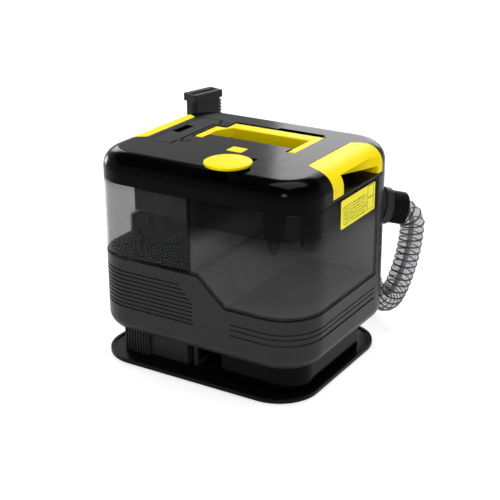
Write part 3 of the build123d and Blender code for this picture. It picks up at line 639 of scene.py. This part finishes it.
bullet(
    "inlet_duct_turned", "inlet_duct", 0.092, -0.070,
    [(0.0030, 0.1945), (0.0060, 0.1990), (0.0098, 0.2080), (0.0132, 0.2210), (0.0162, 0.2390),
     (0.0184, 0.2600), (0.0196, 0.2835)],
    [(0.0012, 0.1965), (0.0042, 0.2010), (0.0080, 0.2095), (0.0114, 0.2220), (0.0144, 0.2395),
     (0.0166, 0.2600), (0.0178, 0.2835)],
)
bullet(
    "float_cage_turned", "float_cage", 0.148, -0.062,
    [(0.0062, 0.2082), (0.0100, 0.2092), (0.0130, 0.2125), (0.0147, 0.2180), (0.0155, 0.2260),
     (0.0160, 0.2450), (0.0163, 0.2835)],
    [(0.0062, 0.2096), (0.0090, 0.2108), (0.0116, 0.2140), (0.0132, 0.2190), (0.0139, 0.2270),
     (0.0143, 0.2450), (0.0146, 0.2835)],
)


def slab_between(low, high):
    """A box between two corners, to be worked on."""
    made = bmesh.new()
    bmesh.ops.create_cube(made, size=1.0)
    bmesh.ops.scale(made, vec=high - low, verts=made.verts[:])
    bmesh.ops.translate(made, vec=(low + high) / 2, verts=made.verts[:])
    return made


divider = slab_between(Vector((-0.1056, -0.147, 0.1785)), Vector((-0.1034, 0.053, 0.2445)))
panel = [face for face in divider.faces if abs(face.normal.x) > 0.9]
bmesh.ops.inset_individual(divider, faces=panel, thickness=0.007, depth=0.0)
bmesh.ops.inset_individual(divider, faces=panel, thickness=0.0012, depth=-0.0007)
soften(divider, 0.0003, 60)
piece("clean_tank_divider", divider, "tank_unit", "charcoal", sharp=40)

# %% [markdown]
# ## Lid fittings, screws and label
# The latch cap gets a low dome inside a raised rim, a fine moulding line runs over the lid's edge
# to the seam between the tanks, and the cover screws are turned, with a socket. The label is a
# thin film with rounded corners.

# %% Cap dome and moulding line
cap_x, cap_y, cap_radius = 0.032, -0.098, 0.0338
dome_outline = [
    (0, 0.3346), (cap_radius, 0.3346), (cap_radius, 0.3352), (0.0330, 0.3356), (0.0322, 0.3354),
    (0.0316, 0.3355), (0.022, 0.3359), (0.010, 0.3361), (0, 0.3362),
]
dome = spun(dome_outline, 96, closed=False)
bmesh.ops.translate(dome, vec=(cap_x, cap_y, 0), verts=dome.verts[:])
piece("latch_cap_dome", dome, "latch", "yellow", sharp=50)

seam_route = [
    (-0.0145, -0.0845, 0.3318), (-0.0145, -0.0960, 0.3318), (-0.0130, -0.1070, 0.3318),
    (-0.0105, -0.1200, 0.3318), (-0.0085, -0.1310, 0.3306), (-0.0065, -0.1390, 0.3268),
    (-0.0050, -0.1455, 0.3205), (-0.0042, -0.1492, 0.3120), (-0.0040, -0.1507, 0.3030),
    (-0.0040, -0.1508, 0.2890),
]
bead = bmesh.new()
bead.from_mesh(curve_mesh("NURBS", seam_route, radius=0.0006, roundness=2))
piece("lid_moulding_line", bead, "lid", "flap_black", sharp=60)

# %% Cover screws
screw_outline = [
    (0, -0.0105), (0.0008, -0.0105), (0.0014, -0.0085), (0.0014, 0.0001), (0.0040, 0.0001),
    (0.0040, 0.0009), (0.0034, 0.0016), (0.0024, 0.0020), (0.0016, 0.0020), (0.0014, 0.0009),
    (0, 0.0009),
]
cover_face, screw_reach, screw_heights = 0.151, 0.110, (0.150, 0.265)
screws = bmesh.new()
for screw_x in (-screw_reach, screw_reach):
    for screw_z in screw_heights:
        head = spun(screw_outline, 36, closed=False)
        outward = on_axis(Vector((screw_x, cover_face, screw_z)), Vector((0, 1, 0)))
        bmesh.ops.transform(head, matrix=outward, verts=head.verts[:])
        turned = bpy.data.meshes.new("screw")
        head.to_mesh(turned)
        head.free()
        screws.from_mesh(turned)
piece("cover_screws_turned", screws, "machine", "steel", ("cover_screws",), sharp=40)

# %% The label's film
label_low, label_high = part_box("label_plate")
label = slab_between(label_low, label_high)
corners = [edge for edge in label.edges if abs((edge.verts[0].co - edge.verts[1].co).x) > 1e-4]
bmesh.ops.bevel(
    label, geom=corners, offset=0.003, offset_type="OFFSET", segments=5, profile=0.5,
    affect="EDGES", material=-1,
)
piece("label_film", label, "tank_unit", "label_yellow", ("label_plate",), sharp=30)

# %% [markdown]
# ## The label's print
# Math nodes on Object coordinates draw it: rows of dashes with noise for the gaps, inside
# margins, and two square boxes beside them. Nothing on it can be read.

# %% Ruled dashes and two boxes
ink = finishes["label_yellow"].node_tree
paper = ink.nodes["Principled BSDF"].inputs["Base Color"].links[0].from_socket
place_of = ink.nodes.new("ShaderNodeSeparateXYZ")
ink.links.new(ink.nodes.new("ShaderNodeTexCoord").outputs["Object"], place_of.inputs[0])


def calc(operation, *values):
    """A Math node on sockets or numbers."""
    node = ink.nodes.new("ShaderNodeMath")
    node.operation = operation
    for socket, value in zip(node.inputs, values):
        if isinstance(value, (int, float)):
            socket.default_value = value
        else:
            ink.links.new(value, socket)
    return node.outputs[0]


across, upward = place_of.outputs["Y"], place_of.outputs["Z"]
rows_per_metre, box_side, box_line = 230.0, 0.0095, 0.0007
row = calc("FRACT", calc("MULTIPLY", calc("SUBTRACT", upward, label_low.z), rows_per_metre))
dash = noise(ink, ink.nodes["Texture Coordinate"].outputs["Object"], 260.0, 1.0, (0.2, 1.0, 3.0))
ruled = calc("MULTIPLY", calc("LESS_THAN", row, 0.42), calc("GREATER_THAN", dash, 0.46))
body_left = calc("GREATER_THAN", across, label_low.y + 0.006)
body_right = calc("LESS_THAN", across, label_high.y - 0.028)
body_low = calc("GREATER_THAN", upward, label_low.z + 0.004)
body_high = calc("LESS_THAN", upward, label_high.z - 0.010)
within_sides = calc("MULTIPLY", body_left, body_right)
inside = calc("MULTIPLY", within_sides, calc("MULTIPLY", body_low, body_high))
printed = calc("MULTIPLY", ruled, inside)
box_y = calc("PINGPONG", calc("SUBTRACT", across, label_high.y - 0.024), box_side)
box_z = calc("PINGPONG", calc("SUBTRACT", upward, label_low.z + 0.004), box_side)
box_edge = calc("LESS_THAN", calc("MINIMUM", box_y, box_z), box_line)
past_left = calc("GREATER_THAN", across, label_high.y - 0.0245)
short_of_right = calc("LESS_THAN", across, label_high.y - 0.0045)
short_of_top = calc("LESS_THAN", upward, label_high.z - 0.0005)
box_columns = calc("MULTIPLY", past_left, short_of_right)
box_area = calc("MULTIPLY", box_columns, calc("MULTIPLY", body_low, short_of_top))
marks = calc("MAXIMUM", printed, calc("MULTIPLY", box_edge, box_area))
inked = ink.nodes.new("ShaderNodeMix")
inked.data_type = "RGBA"
ink.links.new(marks, inked.inputs["Factor"])
ink.links.new(paper, inked.inputs["A"])
inked.inputs["B"].default_value = (0.02, 0.018, 0.01, 1)
ink.links.new(inked.outputs["Result"], ink.nodes["Principled BSDF"].inputs["Base Color"])
print("label", [round(v, 4) for v in label_low], [round(v, 4) for v in label_high])

# %% [markdown]
# ## Size
# The box round all the visible pieces is printed.

# %% The size of the visible pieces
low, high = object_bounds()
print("visual box", [round(v, 4) for v in low], [round(v, 4) for v in high])
